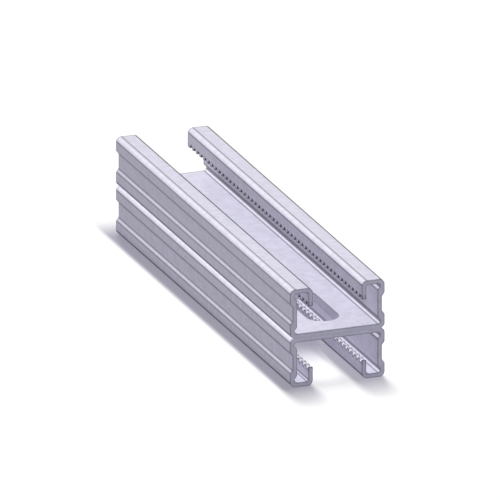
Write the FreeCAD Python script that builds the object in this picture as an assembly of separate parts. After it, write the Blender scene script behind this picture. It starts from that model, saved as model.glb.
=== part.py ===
import FreeCAD, Part
import math
import os

# Double strut channel with serrated lips, every size in mm.
# X runs across the width, Y along the length from front to back, Z up from the floor.
# Heights in the section are taken from the back of the web, where the two channels meet.

V = FreeCAD.Vector

# Overall size of one channel
length = 200.0
width = 41.0
channel_height = 21.0
sheet = 1.8

# Outer and inner bend radii
web_bend_radius = 2.0
flange_bend_radius = 2.2
web_fillet = 1.0
flange_fillet = 1.0
lip_fillet = 0.8

# Lips turned in from the two flanges
mouth_width = 21.4
lip_depth = 7.8

# Long pressed band in the outer face of each side wall
band_depth = 1.15
band_mouth = 9.3
band_floor = 6.1
band_rounding = 0.5

# Ridge that the same band raises on the inner face of the wall
ridge_base = 14.2
ridge_top = 11.8
ridge_rounding = 0.7

# Serration along the free edge of each lip
tooth_pitch = 4.13
notch_mouth = 2.6
notch_root = 0.8
notch_depth = 1.5

# Oblong slots in the web
slot_width = 13.5
slot_length = 38.5
slot_pitch = 46.5
slot_end_land = 6.0

# Values that follow from the sizes above
half_width = width / 2
half_mouth = mouth_width / 2
wall_middle = channel_height / 2
lip_edge = channel_height - lip_depth
overrun = 1.0


def corner_arc(before, corner, after, radius):
    """Start, middle and end of the arc that rounds one corner of the section."""
    to_before = (before - corner).normalize()
    to_after = (after - corner).normalize()
    half_angle = to_before.getAngle(to_after) / 2
    reach = radius / math.tan(half_angle)
    bisector = (to_before + to_after).normalize()
    centre = corner + bisector * (radius / math.sin(half_angle))
    start = corner + to_before * reach
    end = corner + to_after * reach
    middle = centre - bisector * radius
    return start, middle, end


def rounded_face(corners):
    """Flat face in the XZ plane from a closed list of (x, z, radius) corners."""
    count = len(corners)
    points = [V(x, 0, z) for x, z, radius in corners]
    runs = []
    for i in range(count):
        radius = corners[i][2]
        if radius > 0:
            before = points[i - 1]
            after = points[(i + 1) % count]
            runs.append(corner_arc(before, points[i], after, radius))
        else:
            runs.append((points[i],))
    edges = []
    for i in range(count):
        run = runs[i]
        if len(run) == 3:
            edges.append(Part.Arc(run[0], run[1], run[2]).toShape())
        following = runs[(i + 1) % count]
        edges.append(Part.makeLine(run[-1], following[0]))
    return Part.Face(Part.Wire(edges))


def channel_section():
    """Section of one channel, mouth upwards, back of the web on z = 0."""
    wall_in = half_width - sheet
    right = [
        (half_width, 0, web_bend_radius),
        (half_width, wall_middle - band_mouth / 2, band_rounding),
        (half_width - band_depth, wall_middle - band_floor / 2, band_rounding),
        (half_width - band_depth, wall_middle + band_floor / 2, band_rounding),
        (half_width, wall_middle + band_mouth / 2, band_rounding),
        (half_width, channel_height, flange_bend_radius),
        (half_mouth, channel_height, flange_bend_radius),
        (half_mouth, lip_edge, 0),
        (half_mouth + sheet, lip_edge, 0),
        (half_mouth + sheet, channel_height - sheet, lip_fillet),
        (wall_in, channel_height - sheet, flange_fillet),
        (wall_in, wall_middle + ridge_base / 2, ridge_rounding),
        (wall_in - band_depth, wall_middle + ridge_top / 2, ridge_rounding),
        (wall_in - band_depth, wall_middle - ridge_top / 2, ridge_rounding),
        (wall_in, wall_middle - ridge_base / 2, ridge_rounding),
        (wall_in, sheet, web_fillet),
    ]
    left = [(-x, z, radius) for x, z, radius in reversed(right)]
    return rounded_face(right + left)


def lip_notches():
    """Notches that leave the teeth, the first one half a pitch from each row's front end."""
    count = int(length / tooth_pitch)
    slope = (notch_mouth - notch_root) / 2 / notch_depth
    low_half = notch_mouth / 2 + slope * overrun
    top_half = notch_root / 2
    low = lip_edge - overrun
    top = lip_edge + notch_depth
    notches = []
    for i in range(count):
        y = tooth_pitch * (i + 0.5)
        for x in (half_mouth - overrun, -half_mouth - sheet - overrun):
            outline = [
                V(x, y - low_half, low),
                V(x, y + low_half, low),
                V(x, y + top_half, top),
                V(x, y - top_half, top),
                V(x, y - low_half, low),
            ]
            face = Part.Face(Part.makePolygon(outline))
            notches.append(face.extrude(V(sheet + 2 * overrun, 0, 0)))
    return Part.makeCompound(notches)


def web_slots():
    """Row of oblong slots centred on the length, as many as the length has room for."""
    room = length - 2 * slot_end_land - slot_length
    count = int(room / slot_pitch) + 1
    first = length / 2 - slot_pitch * (count - 1) / 2
    radius = slot_width / 2
    half_straight = slot_length / 2 - radius
    height = sheet + 2 * overrun
    slots = []
    for i in range(count):
        y = first + slot_pitch * i
        near = V(radius, y - half_straight, -overrun)
        far = V(radius, y + half_straight, -overrun)
        tip_front = V(0, y - slot_length / 2, -overrun)
        tip_back = V(0, y + slot_length / 2, -overrun)
        near_left = V(-radius, near.y, -overrun)
        far_left = V(-radius, far.y, -overrun)
        edges = [
            Part.makeLine(near, far),
            Part.Arc(far, tip_back, far_left).toShape(),
            Part.makeLine(far_left, near_left),
            Part.Arc(near_left, tip_front, near).toShape(),
        ]
        face = Part.Face(Part.Wire(edges))
        slots.append(face.extrude(V(0, 0, height)))
    return Part.makeCompound(slots)


blank = channel_section().extrude(V(0, length, 0))
channel = blank.cut(lip_notches()).cut(web_slots()).Solids[0]

# The upper channel opens upwards and the lower one is its mirror image below the joint.
channel.translate(V(0, -length / 2, channel_height))
upper_channel = channel
lower_channel = channel.mirror(V(0, 0, channel_height), V(0, 0, 1))

os.makedirs("parts", exist_ok=True)
upper_channel.exportStep("parts/upper_channel.step")
lower_channel.exportStep("parts/lower_channel.step")
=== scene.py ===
import math

import bpy
from bpy.props import FloatProperty, FloatVectorProperty, PointerProperty
from bpy.types import Operator, Panel, PropertyGroup
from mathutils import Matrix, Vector


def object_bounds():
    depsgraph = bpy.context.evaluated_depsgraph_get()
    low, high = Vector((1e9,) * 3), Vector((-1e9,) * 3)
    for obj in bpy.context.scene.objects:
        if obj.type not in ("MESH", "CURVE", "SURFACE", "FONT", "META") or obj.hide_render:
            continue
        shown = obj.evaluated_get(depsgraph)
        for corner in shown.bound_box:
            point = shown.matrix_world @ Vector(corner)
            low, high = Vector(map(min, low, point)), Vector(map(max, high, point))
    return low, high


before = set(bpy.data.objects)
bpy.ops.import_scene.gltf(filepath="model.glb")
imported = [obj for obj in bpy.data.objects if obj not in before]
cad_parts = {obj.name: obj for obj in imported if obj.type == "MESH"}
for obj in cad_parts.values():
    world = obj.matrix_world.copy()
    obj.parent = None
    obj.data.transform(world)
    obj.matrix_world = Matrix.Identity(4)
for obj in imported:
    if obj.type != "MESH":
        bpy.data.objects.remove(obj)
cad_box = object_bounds()

bl_info = {
    "name": "Strut channel",
    "version": (1, 0, 0),
    "blender": (4, 5, 0),
    "location": "View3D > Sidebar > Strut",
    "description": "Galvanised finish, light and camera for a double strut channel",
    "category": "Object",
}

# The solids' own box gives the width, the length and the plane where the channels meet.
lowest, highest = cad_box
half_width = highest.x
half_length = highest.y
mid_height = (lowest.z + highest.z) / 2
channel_height = highest.z - mid_height

MM = 0.001
WHITE = (1, 1, 1)

# The middle of a bend lies this share of its radius in from both flat faces.
BEND_MIDDLE = 1 - math.sqrt(0.5)

# How far along the lower channel's pattern is moved, so that it differs from the upper one's.
LOWER_SHIFT = 0.37

# How wide each soft lamp looks from the object.
SOFT_LAMP = math.radians(20)


def length_property(name, description, default_mm):
    """A size in metres, written in millimetres."""
    return FloatProperty(name=name, description=description, default=default_mm * MM,
                         unit="LENGTH", subtype="DISTANCE", precision=5)


def share_property(name, description, default):
    """A share from nothing to all of it."""
    return FloatProperty(name=name, description=description, default=default,
                         min=0, max=1, subtype="FACTOR")


def level_property(name, description, default):
    """A light level, where 1 shows a colour as it is written."""
    return FloatProperty(name=name, description=description, default=default, min=0)


def colour_property(name, description, default):
    """A colour in linear red, green and blue."""
    return FloatVectorProperty(name=name, description=description, default=default,
                               size=3, min=0, max=1, subtype="COLOR")


def angle_property(name, description, degrees):
    """An angle, written in degrees."""
    return FloatProperty(name=name, description=description, default=math.radians(degrees),
                         unit="ROTATION", subtype="ANGLE")


class StrutSection(PropertyGroup):
    """The bends of the rolled section, where the finish changes."""
    web_bend: length_property(
        "Web bend", "Outer radius where the side turns into the web", 2.0)
    flange_bend: length_property(
        "Flange bend", "Outer radius of the bends at the open side", 2.2)
    mouth: length_property(
        "Mouth", "Gap between the two lips", 21.4)
    band_depth: length_property(
        "Band depth", "Depth of the pressed band in the side", 1.15)
    band_mouth: length_property(
        "Band mouth", "Height of the pressed band at the surface", 9.3)
    band_floor: length_property(
        "Band floor", "Height of the pressed band at its floor", 6.1)
    sheet: length_property(
        "Sheet", "Thickness of the sheet", 1.8)
    fillet: length_property(
        "Inner bend", "Inner radius of the bends", 1.0)
    lip_fillet: length_property(
        "Lip inner bend", "Inner radius where the flange turns into the lip", 0.8)
    ridge_base: length_property(
        "Ridge base", "Height of the ridge on the inner face at its foot", 14.2)
    ridge_top: length_property(
        "Ridge top", "Height of the ridge on the inner face at its top", 11.8)
    lip_depth: length_property(
        "Lip depth", "Height of each lip", 7.8)
    notch_depth: length_property(
        "Notch depth", "Depth of the notches along the lips", 1.5)


class StrutFinish(PropertyGroup):
    """Colours and textures of the galvanised steel, and the highlights and shade painted on it.
    """
    zinc: colour_property(
        "Zinc", "Colour of the flat sheet", (0.705, 0.695, 0.775))
    # Painted highlight: the bends are coloured lighter to stand in for the light they catch.
    polish_and_highlight: colour_property(
        "Highlighted bend", "Colour of the bends, rubbed by the rolls", (0.86, 0.85, 0.92))
    cut: colour_property(
        "Cut end", "Colour of the sawn ends", (0.69, 0.68, 0.80))
    # Painted shade: darker lines along the bends, for the shade in the inner corners and the
    # groove between the channels, and the same dark lines along the outer bends.
    crease: share_property(
        "Crease tone", "Brightness of the fine lines along each bend", 0.35)
    crease_width: length_property(
        "Crease width", "Width of the fine lines along each bend", 0.60)
    edge: share_property(
        "Edge tone", "Brightness of the thin dull line along each cut edge", 0.42)
    edge_width: length_property(
        "Edge width", "Width of the thin dull line along each cut edge", 0.85)
    # Painted shade: a dark line round each notch, widened round the upper notches and over their
    # strip, where the notch openings lie in shade.
    notch_edge: share_property(
        "Notch edge tone", "Brightness of the dull line round each notch", 0.15)
    halo: share_property(
        "Notch halo", "How strongly that line widens round the upper notches", 1.0)
    rim: share_property(
        "Rim tone", "Brightness of a bend where it turns out of sight", 0.10)
    # Painted shade on the pressed band's edges that face down.
    under: share_property(
        "Underside tone", "Brightness of the pressed band's edge that faces down", 0.78)
    # Painted shade on the upper inner walls under the flanges.
    shelter_shade: share_property(
        "Shelter tone", "Brightness of the upper inner walls under the flanges", 0.72)
    # Painted shade and highlight: notch walls that face down are coloured near black for their
    # shade, those that face up near white for the light they catch.
    upper_notch_shade: colour_property(
        "Upper notches", "Colour of the notch walls that face down", (0.05, 0.045, 0.07))
    lower_notch_highlight: colour_property(
        "Lower notches", "Colour of the notch walls that face up", (0.93, 0.93, 0.98))
    inner_light: share_property(
        "Inner light", "Share of its own light that the steel passes on inside", 0.78)
    spangle: length_property(
        "Spangle size", "Size of the zinc crystals", 2.4)
    spangle_tone: share_property(
        "Spangle contrast", "How much the crystals differ in tone", 0.12)
    streak_tone: share_property(
        "Streak contrast", "How much the rolling streaks differ in tone", 0.13)
    metal: share_property(
        "Metal", "How far the sheet reflects as bare metal", 0.10)
    roughness: share_property(
        "Roughness", "Roughness of the flat sheet", 0.50)
    burnish_roughness: share_property(
        "Bend roughness", "Roughness of the rubbed bends", 0.36)


class StrutStudio(PropertyGroup):
    """Light and floor."""
    sky: level_property(
        "Sky", "Level of the even light from all round", 0.05)
    key: level_property(
        "Key", "Level of the key lamp from the upper left", 0.57)
    lamp: colour_property(
        "Lamp colour", "Colour of the lamps on the object", (0.95, 0.94, 1.0))
    top: level_property(
        "Top", "Level of the lamp overhead", 0.42)
    left: level_property(
        "Left", "Level of the lamp from the left", 0.140)
    left_lamp: colour_property(
        "Left lamp colour", "Colour of the lamp from the left", (0.84, 0.78, 1.0))
    front: level_property(
        "Front", "Level of the lamp in front", 0.145)
    fill: level_property(
        "Fill", "Level of the fill lamp from the right and behind", 0.22)
    floor_lamp: level_property(
        "Floor lamps", "Level of the row of lamps that gives the floor its shadow", 0.30)
    floor_fill: level_property(
        "Floor fill", "Level of the light left in the floor's shadow", 0.70)
    reach: angle_property(
        "Shadow reach", "How far that row leans back, which draws the shadow out in front", 34)
    lean: angle_property(
        "Shadow lean", "How far that row leans to the right", 6)
    floor: colour_property(
        "Floor", "Colour of the floor", (1.0, 1.0, 1.0))
    # Painted shadow: the floor's contact shadow is painted in this colour, beside the lamps' own
    # shadow.
    shade: colour_property(
        "Contact shade", "Colour of the floor close beside the channel", (0.42, 0.41, 0.48))
    shade_reach: length_property(
        "Shade reach", "How far the contact shade runs out in front", 27)
    bounce: colour_property(
        "Bounce", "Share of the floor's light that returns to the object", (0.13, 0.127, 0.19))


class StrutCamera(PropertyGroup):
    """The photograph's view."""
    azimuth: angle_property(
        "Azimuth", "Turn round the object, from its front end", -20.73)
    elevation: angle_property(
        "Elevation", "Height of the view above the horizon", 19.48)
    width: length_property(
        "Frame width", "Width of the picture at the object", 203.25)
    rise: length_property(
        "Rise", "How far the view aims above the object's middle", 2.66)
    side: length_property(
        "Side", "How far the view aims to the right of the middle", -0.12)
    distance: length_property(
        "Distance", "Distance from the object's middle", 600)


class Nodes:
    """Puts nodes into one node tree and joins them."""

    def __init__(self, tree):
        self.tree = tree
        tree.nodes.clear()

    def add(self, kind, settings=None, **sockets):
        """A node with its settings. Inputs go by socket name, as a value or another's output."""
        node = self.tree.nodes.new(kind)
        for name, value in (settings or {}).items():
            setattr(node, name, value)
        for name, value in sockets.items():
            self.feed(node, name.replace("_", " "), value)
        return node

    def feed(self, node, key, value):
        """Gives one input a value or a link."""
        socket = node.inputs[key]
        if isinstance(value, bpy.types.NodeSocket):
            self.tree.links.new(value, socket)
        else:
            socket.default_value = value

    def use(self, group, **inputs):
        """The outputs of a shared group that gets its own values."""
        return self.add("ShaderNodeGroup", {"node_tree": group}, **inputs).outputs

    def math(self, operation, *values, clamp=False):
        """A sum on single values."""
        node = self.add("ShaderNodeMath", {"operation": operation, "use_clamp": clamp})
        for index, value in enumerate(values):
            self.feed(node, index, value)
        return node.outputs[0]

    def product(self, first, *others):
        """Single values multiplied together."""
        found = first
        for other in others:
            found = self.math("MULTIPLY", found, other)
        return found

    def vector(self, operation, *values):
        """A sum on vectors. A distance or a dot product is a single value."""
        node = self.add("ShaderNodeVectorMath", {"operation": operation})
        for index, value in enumerate(values):
            self.feed(node, index, value)
        single = operation in ("DISTANCE", "DOT_PRODUCT")
        return node.outputs["Value" if single else "Vector"]

    def parts(self, vector):
        """The X, Y and Z of a vector."""
        return self.add("ShaderNodeSeparateXYZ", Vector=vector).outputs

    def ramp(self, value, start, end, to_start=0.0, to_end=1.0, smooth=True):
        """A value carried from one range to another, and held at its ends."""
        settings = {"interpolation_type": "SMOOTHSTEP" if smooth else "LINEAR"}
        node = self.add("ShaderNodeMapRange", settings)
        for index, number in enumerate((value, start, end, to_start, to_end)):
            self.feed(node, index, number)
        return node.outputs["Result"]

    def fade(self, value, limits, unit=1.0):
        """A mask that starts at the first limit and is full at the second."""
        start, full = limits
        return self.ramp(value, start * unit, full * unit)

    def mix(self, share, first, second, blend="MIX"):
        """Two colours mixed by a share."""
        node = self.add("ShaderNodeMix", {"data_type": "RGBA", "blend_type": blend})
        self.feed(node, 0, share)
        self.feed(node, 6, first)
        self.feed(node, 7, second)
        return node.outputs[2]

    def tint(self, mask, colour, tone):
        """A colour multiplied by a tone, where a mask says."""
        return self.mix(mask, colour, self.mix(1.0, colour, tone, "MULTIPLY"))

    def noise(self, place, waves, detail, roughness=0.5):
        """The outputs of a noise with so many waves to a metre."""
        return self.add("ShaderNodeTexNoise", Vector=place, Scale=waves,
                        Detail=detail, Roughness=roughness).outputs

    def place(self):
        """The place on the object."""
        return self.add("ShaderNodeTexCoord").outputs["Object"]

    def normal(self):
        """The direction that the surface faces."""
        return self.add("ShaderNodeNewGeometry").outputs["Normal"]


def grey(tone):
    """An even grey."""
    return (tone, tone, tone, 1)


def new_group(name, inputs, outputs):
    """An empty shared group with named single values: its nodes, its inputs and its output."""
    tree = bpy.data.node_groups.new(name, "ShaderNodeTree")
    for socket, default in inputs.items():
        made = tree.interface.new_socket(socket, in_out="INPUT", socket_type="NodeSocketFloat")
        made.default_value = default
    for socket in outputs:
        tree.interface.new_socket(socket, in_out="OUTPUT", socket_type="NodeSocketFloat")
    nodes = Nodes(tree)
    return nodes, nodes.add("NodeGroupInput").outputs, nodes.add("NodeGroupOutput")


def section_place(nodes):
    """The place in the section, from the middle plane and from where the channels meet."""
    centred = nodes.vector("SUBTRACT", nodes.place(), (0, 0, mid_height))
    return nodes.vector("MULTIPLY", centred, (1, 0, 1))


def folded_place(nodes):
    """The same, with both halves and both channels folded onto one."""
    return nodes.vector("ABSOLUTE", section_place(nodes))


def from_end(nodes, place):
    """The distance from the nearer end of the channel."""
    return nodes.math("SUBTRACT", half_length, nodes.math("ABSOLUTE", place["Y"]))


def nearest(nodes, place, points):
    """The distance from a place in the section to the nearest of some points."""
    found = None
    for across, high in points:
        away = nodes.vector("DISTANCE", place, (across, 0, high))
        found = away if found is None else nodes.math("MINIMUM", found, away)
    return found


def outer_creases(s):
    """Where the flat faces run into the bends on the outside of the section.

    Each line lies a little beside its corner, as much as the corner's own rounding moves it.
    """
    inset, slope = 0.17 * MM, 0.10 * MM
    bend_share = 0.9
    side, deep, edge = half_width, half_width - s.band_depth, s.mouth / 2
    middle = channel_height / 2
    mouth, floor = s.band_mouth / 2 - inset, s.band_floor / 2 + inset
    below_flange = channel_height - bend_share * s.flange_bend + inset
    return [
        (side - s.web_bend, 0), (side, s.web_bend - inset),
        (side - slope, middle - mouth), (side - slope, middle + mouth),
        (deep + slope, middle - floor), (deep + slope, middle + floor),
        (side, below_flange), (edge, below_flange),
    ]


def top_creases(s):
    """Where the flanges run into the two bends whose lines show, outer left and inner right."""
    bend_share = 1.07
    return [(-(half_width - bend_share * s.flange_bend), channel_height),
            (s.mouth / 2 + s.flange_bend, channel_height)]


def inner_creases(s):
    """Where the flat faces run into the bends on the inside of the section.

    The ridge's lower line has a second point beside it, which makes it broader.
    """
    broader = 0.35 * MM
    wall, under, middle = half_width - s.sheet, channel_height - s.sheet, channel_height / 2
    edge, ridge = s.mouth / 2 + s.sheet, half_width - s.band_depth - s.sheet
    return [
        (wall - s.fillet, s.sheet), (wall, s.sheet + s.fillet),
        (wall, middle - s.ridge_base / 2), (wall, middle + s.ridge_base / 2),
        (ridge, middle - s.ridge_top / 2), (ridge, middle + s.ridge_top / 2),
        (ridge, middle - s.ridge_top / 2 + broader),
        (wall, under - s.fillet), (wall - s.fillet, under),
        (edge + s.lip_fillet, under), (edge, under - s.lip_fillet),
    ]


def outer_bends(s):
    """The middle of each outer bend of the section."""
    web_off, flange_off = s.web_bend * BEND_MIDDLE, s.flange_bend * BEND_MIDDLE
    return [
        (half_width - web_off, web_off),
        (half_width - flange_off, channel_height - flange_off),
        (s.mouth / 2 + flange_off, channel_height - flange_off),
    ]


def inner_bends(s):
    """The middle of the inner bends beside the web and the flange."""
    off = s.fillet * BEND_MIDDLE
    across = half_width - s.sheet - off
    return [(across, s.sheet + off), (across, channel_height - s.sheet - off)]


def outer_jogs(s):
    """The middle of both sloping edges of the pressed band."""
    across, middle = half_width - s.band_depth / 2, channel_height / 2
    off = (s.band_mouth + s.band_floor) / 4
    return [(across, middle - off), (across, middle + off)]


def shelter_shade(nodes, turned, s):
    """A mask of the upper channel's inner walls, low down under the flanges, where shade is
    painted.

    A wall is inner where its distance from the middle, times how far it faces back there, is
    near the ridge's own distance. The mask fades out towards both ends.
    """
    inner_wall = half_width - s.band_depth - 1.2 * s.sheet
    facing_in = 0.6
    low_limits, depth_limits = (11, 8), (6, 22)
    place = nodes.parts(nodes.place())
    inward = nodes.product(place["X"], turned["X"], -1.0)
    wall = nodes.math("GREATER_THAN", inward, facing_in * inner_wall)
    high = nodes.math("SUBTRACT", place["Z"], mid_height)
    low = nodes.fade(high, low_limits, MM)
    above_web = nodes.math("GREATER_THAN", high, s.sheet + s.fillet)
    depth = nodes.fade(from_end(nodes, place), depth_limits, MM)
    return nodes.product(wall, low, above_web, depth)


def bend_group(s):
    """Masks of the bends, on faces that run along the channel.

    Crease is the dark lines beside the bends, painted shade in the inner corners and the groove
    between the channels, and Polish And Highlight the bends, which get a painted highlight and a
    lower roughness. Round is the outer bends, weaker where they face down. Downward Shade is the
    pressed band's edges that face down, and Sheltered Shade the upper inner walls, both painted
    shade.
    """
    end_turn, down_turn = (0.5, 0.3), (-0.1, -0.4)
    outer_reach, inner_reach = (0.65, 0.25), (0.8, 0.4)
    round_reach, jog_reach = (0.8, 0.6), (1.1, 0.7)
    round_below = 0.52
    nodes, given, result = new_group(
        "Bends", {"Width": 0.3 * MM}, ("Crease", "Polish And Highlight", "Round", "Downward Shade", "Sheltered Shade"))
    section, folded = section_place(nodes), folded_place(nodes)
    turned = nodes.parts(nodes.normal())
    skin = nodes.fade(nodes.math("ABSOLUTE", turned["Y"]), end_turn)
    down = nodes.fade(turned["Z"], down_turn)

    # Painted shade lines along the bends and in the inner corners
    lines = nodes.math("MINIMUM",
                       nearest(nodes, folded, outer_creases(s) + inner_creases(s)),
                       nearest(nodes, section, top_creases(s)))
    nodes.feed(result, "Crease", nodes.product(nodes.ramp(lines, given["Width"], 0.0), skin))

    outer = nearest(nodes, folded, outer_bends(s))
    inner = nearest(nodes, folded, inner_bends(s))
    # Painted highlight on the outer and inner bends, which also get a lower roughness
    polish_and_highlight = nodes.math("MAXIMUM",
                         nodes.fade(outer, outer_reach, s.flange_bend),
                         nodes.fade(inner, inner_reach, s.fillet))
    nodes.feed(result, "Polish And Highlight", nodes.product(polish_and_highlight, skin))

    rounded = nodes.product(nodes.fade(outer, round_reach, s.flange_bend), skin)
    weaker = nodes.ramp(down, 0.0, 1.0, 1.0, round_below)
    nodes.feed(result, "Round", nodes.product(rounded, weaker))

    # Painted shade on the band's edges that face down
    jogs = nodes.fade(nearest(nodes, folded, outer_jogs(s)), jog_reach, s.band_depth)
    nodes.feed(result, "Downward Shade", nodes.product(jogs, down, skin))
    nodes.feed(result, "Sheltered Shade", shelter_shade(nodes, turned, s))


def sheet_group():
    """Zinc crystals, rolling streaks along the channel and fine grain.

    Tone is a factor round 1, Height drives the bump and Shine shifts the roughness. Crystals
    are cells of a warped place, and streaks are a noise stretched along the channel.
    """
    warp_waves, warp_reach = 260.0, 1.2 * MM
    streak_waves, grain_waves = (1400.0, 18.0, 1400.0), 5200.0
    grain_height, streak_height = 0.4, 0.6
    crystal_shine = 0.10
    nodes, given, result = new_group(
        "Zinc sheet",
        {"Shift": 0.0, "Spangle": 3.5 * MM, "Spangle Tone": 0.03, "Streak Tone": 0.03},
        ("Tone", "Height", "Shine"))
    shift = nodes.add("ShaderNodeCombineXYZ", Y=given["Shift"]).outputs[0]
    place = nodes.vector("ADD", nodes.place(), shift)

    warp = nodes.vector("SUBTRACT", nodes.noise(place, warp_waves, 2.0)["Color"], (0.5,) * 3)
    warped = nodes.vector("ADD", place, nodes.vector("MULTIPLY", warp, (warp_reach,) * 3))
    cells = nodes.add("ShaderNodeTexVoronoi", {"feature": "F1"}, Vector=warped,
                      Scale=nodes.math("DIVIDE", 1.0, given["Spangle"])).outputs["Color"]
    crystal = nodes.add("ShaderNodeSeparateColor", Color=cells).outputs[0]
    crystal = nodes.math("SUBTRACT", crystal, 0.5)

    stretched = nodes.vector("MULTIPLY", place, streak_waves)
    streak = nodes.noise(stretched, 1.0, 3.0, 0.6)["Fac"]
    grain = nodes.noise(place, grain_waves, 2.0)["Fac"]

    tone = nodes.math("ADD", nodes.product(crystal, given["Spangle Tone"]),
                      nodes.product(nodes.math("SUBTRACT", streak, 0.5), given["Streak Tone"]))
    nodes.feed(result, "Tone", nodes.math("ADD", tone, 1.0))
    nodes.feed(result, "Height", nodes.math("ADD", nodes.product(grain, grain_height),
                                            nodes.product(streak, streak_height)))
    nodes.feed(result, "Shine", nodes.product(crystal, crystal_shine))


def end_group():
    """The sawn ends.

    End is the end faces, Last the sheet's last strip before them, and Marks the saw's fine
    marks, a noise of long thin waves at a slight angle.
    """
    slack, strip_limits = 0.02 * MM, (1.1, 0.3)
    saw_angle, saw_waves = math.radians(12), (120.0, 120.0, 5200.0)
    nodes, given, result = new_group(
        "Sawn ends", {"Length": half_length}, ("End", "Last", "Marks"))
    place = nodes.place()
    along = nodes.math("ABSOLUTE", nodes.parts(place)["Y"])
    gap = nodes.math("SUBTRACT", given["Length"], along)
    sawn = nodes.add("ShaderNodeMapping", Vector=place, Rotation=(0, saw_angle, 0),
                     Scale=saw_waves).outputs[0]
    nodes.feed(result, "End", nodes.math("LESS_THAN", gap, slack))
    nodes.feed(result, "Last", nodes.fade(gap, strip_limits, MM))
    nodes.feed(result, "Marks", nodes.noise(sawn, 1.0, 2.0)["Fac"])


def edge_group():
    """The sharp edges, found by how far a small rounding would turn the surface.

    Edge is a thin line, faint where the two channels meet, and Near reaches a little further.
    """
    samples = 6
    line_turn, near_turn = (0.005, 0.045), (0.001, 0.02)
    joint_low, joint_high, joint_share = 0.7 * MM, 1.1 * MM, 0.12
    nodes, given, result = new_group("Edges", {"Width": 0.5 * MM}, ("Edge", "Near"))
    rounded = nodes.add("ShaderNodeBevel", {"samples": samples}, Radius=given["Width"])
    alike = nodes.vector("DOT_PRODUCT", rounded.outputs["Normal"], nodes.normal())
    turn = nodes.math("SUBTRACT", 1.0, alike)
    high = nodes.parts(folded_place(nodes))["Z"]
    apart = nodes.ramp(high, joint_low, joint_high, joint_share, 1.0)
    nodes.feed(result, "Edge", nodes.product(nodes.fade(turn, line_turn), apart))
    nodes.feed(result, "Near", nodes.fade(turn, near_turn))


def notch_group(s):
    """The row of notches along each lip: Strip is what they take up, Wall their own walls."""
    slack, beyond_root = 0.05 * MM, 0.4 * MM
    most_across, most_along = 0.5, 0.97
    nodes, given, result = new_group("Notches", {"Depth": s.notch_depth}, ("Strip", "Wall"))
    place = nodes.parts(folded_place(nodes))
    tip, edge = channel_height - s.lip_depth, s.mouth / 2
    top = nodes.math("ADD", given["Depth"], tip + beyond_root)
    strip = nodes.product(
        nodes.math("GREATER_THAN", place["X"], edge - slack),
        nodes.math("LESS_THAN", place["X"], edge + s.sheet + slack),
        nodes.math("GREATER_THAN", place["Z"], tip - slack),
        nodes.math("LESS_THAN", place["Z"], top))
    turned = nodes.parts(nodes.vector("ABSOLUTE", nodes.normal()))
    wall = nodes.product(
        strip,
        nodes.math("LESS_THAN", turned["X"], most_across),
        nodes.math("LESS_THAN", turned["Y"], most_along),
        nodes.math("GREATER_THAN", place["Z"], tip + slack))
    nodes.feed(result, "Strip", strip)
    nodes.feed(result, "Wall", wall)


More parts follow.
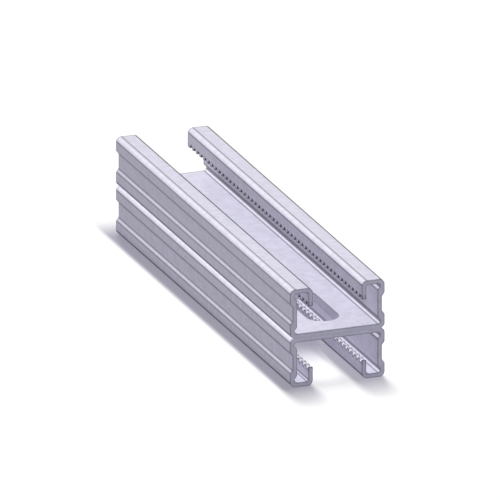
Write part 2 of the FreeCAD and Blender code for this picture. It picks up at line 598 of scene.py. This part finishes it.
def zinc_material(name, shift, notch, halo, groups, finish):
    """Galvanised steel sheet: crystals and streaks, painted highlights on the bends, painted
    shade along them, sawn ends.

    shift moves the pattern along the channel, notch is the colour of the notch walls, painted
    shade in the upper channel and painted highlight in the lower, and halo is how strongly the
    dark line of painted shade widens round the notches and over their whole strip.
    """
    strip_share, last_strip, rim_limits = 0.13, 0.55, (0.69, 0.78)
    bump_strength, bump_depth = 0.25, 0.02 * MM
    material = bpy.data.materials.new(name)
    material.use_nodes = True
    nodes = Nodes(material.node_tree)
    sheet = nodes.use(groups["Zinc sheet"], Shift=shift, Spangle=finish.spangle,
                      Spangle_Tone=finish.spangle_tone, Streak_Tone=finish.streak_tone)
    bends = nodes.use(groups["Bends"], Width=finish.crease_width)
    ends = nodes.use(groups["Sawn ends"], Length=half_length)
    edges = nodes.use(groups["Edges"], Width=finish.edge_width)
    notches = nodes.use(groups["Notches"])

    # The colour of each surface: painted highlight on the bends, painted shade or highlight on
    # the notch walls, and the crystals and streaks over all
    colour = nodes.mix(bends["Polish And Highlight"], (*finish.zinc, 1), (*finish.polish_and_highlight, 1))
    colour = nodes.mix(ends["End"], colour, (*finish.cut, 1))
    colour = nodes.mix(notches["Wall"], colour, (*notch, 1))
    tone = nodes.add("ShaderNodeCombineColor", Red=sheet["Tone"], Green=sheet["Tone"],
                     Blue=sheet["Tone"]).outputs[0]
    colour = nodes.mix(1.0, colour, tone, "MULTIPLY")

    # Painted shade: lines along the bends and in the inner corners, the band's downward edges,
    # the sheltered inner walls and the notch rows; and a dark line along each cut edge
    for mask, level in (("Crease", finish.crease), ("Downward Shade", finish.under),
                        ("Sheltered Shade", finish.shelter_shade)):
        colour = nodes.tint(bends[mask], colour, grey(level))
    near = nodes.math("ADD", edges["Near"], strip_share, clamp=True)
    wide = nodes.product(near, notches["Strip"], halo)
    last = nodes.product(ends["Last"],
                         nodes.math("SUBTRACT", last_strip, ends["End"], clamp=True))
    line = nodes.math("MAXIMUM", nodes.math("MAXIMUM", edges["Edge"], last), wide)
    dark = nodes.mix(notches["Strip"], grey(finish.edge), grey(finish.notch_edge))
    colour = nodes.tint(line, colour, dark)

    # A bend is darker where it turns out of sight, and the steel passes on less light inside
    facing = nodes.add("ShaderNodeLayerWeight", Blend=0.5).outputs["Facing"]
    rim = nodes.product(nodes.fade(facing, rim_limits), bends["Round"])
    colour = nodes.tint(rim, colour, grey(finish.rim))
    passed_on = nodes.add("ShaderNodeLightPath").outputs["Is Diffuse Ray"]
    colour = nodes.tint(passed_on, colour, grey(finish.inner_light))

    rough = nodes.ramp(bends["Polish And Highlight"], 0.0, 1.0, finish.roughness, finish.burnish_roughness,
                       smooth=False)
    rough = nodes.math("MAXIMUM", nodes.math("ADD", rough, sheet["Shine"]), rim)
    height = nodes.math("ADD", sheet["Height"], nodes.product(ends["End"], ends["Marks"]))
    bump = nodes.add("ShaderNodeBump", Height=height, Strength=bump_strength,
                     Distance=bump_depth)
    shader = nodes.add("ShaderNodeBsdfPrincipled", Base_Color=colour, Metallic=finish.metal,
                       Roughness=rough, Normal=bump.outputs["Normal"])
    nodes.add("ShaderNodeOutputMaterial", Surface=shader.outputs[0])
    return material


def shared_groups(section):
    """The shared groups by name, made on the first call."""
    if "Zinc sheet" not in bpy.data.node_groups:
        bend_group(section)
        sheet_group()
        end_group()
        edge_group()
        notch_group(section)
    return bpy.data.node_groups


def dress(scene, node, shift, notch, halo):
    """Gives one channel its galvanised finish in every material slot."""
    groups = shared_groups(scene.strut_section)
    material = zinc_material("Galvanised " + node, shift, notch, halo, groups,
                             scene.strut_finish)
    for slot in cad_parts[node].material_slots:
        slot.material = material


class StrutUpperChannel(Operator):
    """Gives the upper channel its galvanised finish"""
    bl_idname = "strut.upper_channel"
    bl_label = "Upper channel"

    def execute(self, context):
        finish = context.scene.strut_finish
        dress(context.scene, "upper_channel", 0.0, finish.upper_notch_shade, finish.halo)
        return {"FINISHED"}


class StrutLowerChannel(Operator):
    """Gives the lower channel its galvanised finish"""
    bl_idname = "strut.lower_channel"
    bl_label = "Lower channel"

    def execute(self, context):
        finish = context.scene.strut_finish
        dress(context.scene, "lower_channel", LOWER_SHIFT, finish.lower_notch_highlight, 0.0)
        return {"FINISHED"}


def floor_shade(nodes, studio, section):
    """How strongly the painted contact shadow lies on the floor.

    A strip lies along each flange and a little to its left, weaker on the right. It widens and
    fades out in front, and fades behind. Between the lips the shade lies deep inside only.
    """
    left_by, widening, right_share = 2.25 * MM, 0.16, 0.86
    soft_outside, soft_inside = 1.2 * MM, 1.9 * MM
    behind_start, behind_full = -22 * MM, 4 * MM
    right_start, right_full = -3 * MM, 3 * MM
    lip_limits, depth_limits = (1.0, -1.0), (12, 52)
    edge = section.mouth / 2
    middle, reach = (half_width + edge) / 2, (half_width - edge) / 2 + left_by

    place = nodes.parts(nodes.place())
    ahead = nodes.math("SUBTRACT", nodes.product(place["Y"], -1.0), half_length)
    gaps = [nodes.math("ABSOLUTE", nodes.math("ADD", place["X"], left_by + side * middle))
            for side in (-1, 1)]
    wider = nodes.product(nodes.math("MAXIMUM", ahead, 0.0), widening)
    strips = nodes.ramp(nodes.math("MINIMUM", *gaps),
                        nodes.math("ADD", reach + soft_outside, wider),
                        nodes.math("SUBTRACT", reach - soft_inside, wider))
    front = nodes.ramp(ahead, studio.shade_reach, 0.0, smooth=False)
    back = nodes.ramp(ahead, behind_start - 2 * half_length, behind_full - 2 * half_length)
    sides = nodes.ramp(place["X"], right_start, right_full, 1.0, right_share)
    strips = nodes.product(strips, front, back, sides)

    across = nodes.math("SUBTRACT", nodes.math("ABSOLUTE", place["X"]), edge)
    between = nodes.product(nodes.fade(across, lip_limits, MM),
                            nodes.fade(from_end(nodes, place), depth_limits, MM))
    return nodes.math("MAXIMUM", strips, between)


def seen_rays(nodes):
    """1 for what the camera sees, straight or in a reflection, and 0 for all other light."""
    path = nodes.add("ShaderNodeLightPath").outputs
    both = nodes.math("MAXIMUM", path["Is Camera Ray"], path["Is Glossy Ray"])
    return nodes.math("MAXIMUM", both, path["Is Transmission Ray"])


def mix_shaders(nodes, share, first, second):
    """Two shaders mixed by a share."""
    both = nodes.add("ShaderNodeMixShader", Fac=share)
    nodes.feed(both, 1, first)
    nodes.feed(both, 2, second)
    return both.outputs[0]


def floor_material(studio, section):
    """A pale floor with a painted contact shadow. It gives little light back, and can't be seen
    from below.
    """
    material = bpy.data.materials.new("Floor")
    material.use_nodes = True
    nodes = Nodes(material.node_tree)
    # The painted contact shadow, mixed into the floor's colour
    shade = floor_shade(nodes, studio, section)
    seen = nodes.mix(shade, (*studio.floor, 1), (*studio.shade, 1))
    colour = nodes.mix(seen_rays(nodes), (*studio.bounce, 1), seen)
    paint = nodes.add("ShaderNodeBsdfDiffuse", Color=colour).outputs[0]
    clear = nodes.add("ShaderNodeBsdfTransparent").outputs[0]
    below = nodes.add("ShaderNodeNewGeometry").outputs["Backfacing"]
    surface = mix_shaders(nodes, below, paint, clear)
    nodes.add("ShaderNodeOutputMaterial", Surface=surface)
    return material


def white_world(scene, level):
    """Even light from all round, and a white background."""
    world = bpy.data.worlds.new("Studio")
    world.use_nodes = True
    scene.world = world
    nodes = Nodes(world.node_tree)
    light, white = [
        nodes.add("ShaderNodeBackground", Color=(*WHITE, 1), Strength=strength).outputs[0]
        for strength in (level, 1.0)]
    surface = mix_shaders(nodes, seen_rays(nodes), light, white)
    nodes.add("ShaderNodeOutputWorld", Surface=surface)


def add_object(name, data):
    """A scene object for some data."""
    made = bpy.data.objects.new(name, data)
    bpy.context.scene.collection.objects.link(made)
    return made


def turn_object(made, turn):
    """Turns an object by a quaternion."""
    made.rotation_mode = "QUATERNION"
    made.rotation_quaternion = turn


def add_floor(studio, section):
    """A square floor round the origin, a hair below the object."""
    reach, drop = 3.0, 0.05 * MM
    corners = [(x * reach, y * reach, -drop) for x, y in ((-1, -1), (1, -1), (1, 1), (-1, 1))]
    mesh = bpy.data.meshes.new("floor")
    mesh.from_pydata(corners, [], [(0, 1, 2, 3)])
    floor = add_object("floor", mesh)
    mesh.materials.append(floor_material(studio, section))
    return floor


def lit_collection(name, objects):
    """A list of what a lamp lights."""
    made = bpy.data.collections.new(name)
    for o in objects:
        made.objects.link(o)
    return made


def add_sun(name, towards, level, colour, lit, angle=SOFT_LAMP, shadow=False):
    """A distant lamp without a glare.

    towards points from the object to the lamp, level is the light on a face turned to it, lit
    holds what it lights, and angle is how wide it looks.
    """
    data = bpy.data.lights.new(name, "SUN")
    data.energy = math.pi * level
    data.color = colour
    data.angle = angle
    data.use_shadow = shadow
    lamp = add_object(name, data)
    turn_object(lamp, Vector(towards).to_track_quat("Z", "Y"))
    lamp.location = Vector(towards).normalized()
    lamp.light_linking.receiver_collection = lit
    lamp.visible_glossy = False


def light_steel(studio):
    """Soft lamps for the steel alone."""
    lit = lit_collection("Lit steel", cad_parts.values())
    for name, towards, level, colour in (
            ("Key lamp", (-0.22, -0.20, 0.95), studio.key, studio.lamp),
            ("Top lamp", (0, 0, 1), studio.top, studio.lamp),
            ("Left lamp", (-1, 0, 0.15), studio.left, studio.left_lamp),
            ("Front lamp", (0, -1, 0), studio.front, studio.lamp),
            ("Fill lamp", (0.8, 0.6, 0), studio.fill, studio.lamp)):
        add_sun(name, towards, level, colour, lit)


def light_floor(studio, floor):
    """Lamps for the floor alone: a row that draws a shadow, and the light left in the shadow."""
    lit = lit_collection("Lit floor", [floor])
    row = 6
    for i in range(row):
        back = studio.reach * (i + 0.5) / row
        towards = Vector((math.tan(studio.lean), math.tan(back), 1))
        level = studio.floor_lamp / row * towards.length
        add_sun("Floor lamp %d" % (i + 1), towards, level, WHITE, lit, studio.reach / row, True)
    add_sun("Floor fill", (0, 0, 1), studio.floor_fill, WHITE, lit)


def add_camera(view):
    """A parallel view of the object's middle, a little beside it as in the photograph."""
    data = bpy.data.cameras.new("Camera")
    data.type = "ORTHO"
    data.ortho_scale = view.width
    camera = add_object("Camera", data)
    around, up = view.azimuth, view.elevation
    back = Vector((math.sin(around) * math.cos(up), -math.cos(around) * math.cos(up),
                   math.sin(up)))
    turn = (-back).to_track_quat("-Z", "Y")
    aim = Vector((0, 0, mid_height)) + turn @ Vector((view.side, view.rise, 0))
    turn_object(camera, turn)
    camera.location = aim + back * view.distance
    return camera


class StrutStage(Operator):
    """Puts up the floor, the light and the camera"""
    bl_idname = "strut.stage"
    bl_label = "Stage"

    def execute(self, context):
        scene = context.scene
        studio = scene.strut_studio
        floor = add_floor(studio, scene.strut_section)
        white_world(scene, studio.sky)
        light_steel(studio)
        light_floor(studio, floor)
        scene.camera = add_camera(scene.strut_camera)
        scene.view_settings.view_transform = "Standard"
        return {"FINISHED"}


class StrutPanel(Panel):
    """Everything for the strut channel"""
    bl_idname = "VIEW3D_PT_strut"
    bl_label = "Strut channel"
    bl_space_type = "VIEW_3D"
    bl_region_type = "UI"
    bl_category = "Strut"

    def draw(self, context):
        for kind in OPERATORS:
            self.layout.operator(kind.bl_idname)
        for name in SETTINGS:
            box = self.layout.box()
            settings = getattr(context.scene, name)
            for key in settings.bl_rna.properties.keys():
                if key not in ("rna_type", "name"):
                    box.prop(settings, key)


SETTINGS = {
    "strut_section": StrutSection,
    "strut_finish": StrutFinish,
    "strut_studio": StrutStudio,
    "strut_camera": StrutCamera,
}
OPERATORS = (StrutUpperChannel, StrutLowerChannel, StrutStage)
CLASSES = (*SETTINGS.values(), *OPERATORS, StrutPanel)


def register():
    for kind in CLASSES:
        bpy.utils.register_class(kind)
    for name, kind in SETTINGS.items():
        setattr(bpy.types.Scene, name, PointerProperty(type=kind))


def unregister():
    for name in SETTINGS:
        delattr(bpy.types.Scene, name)
    for kind in reversed(CLASSES):
        bpy.utils.unregister_class(kind)


def main():
    register()
    bpy.ops.strut.upper_channel()
    bpy.ops.strut.lower_channel()
    bpy.ops.strut.stage()


if __name__ == "__main__":
    main()
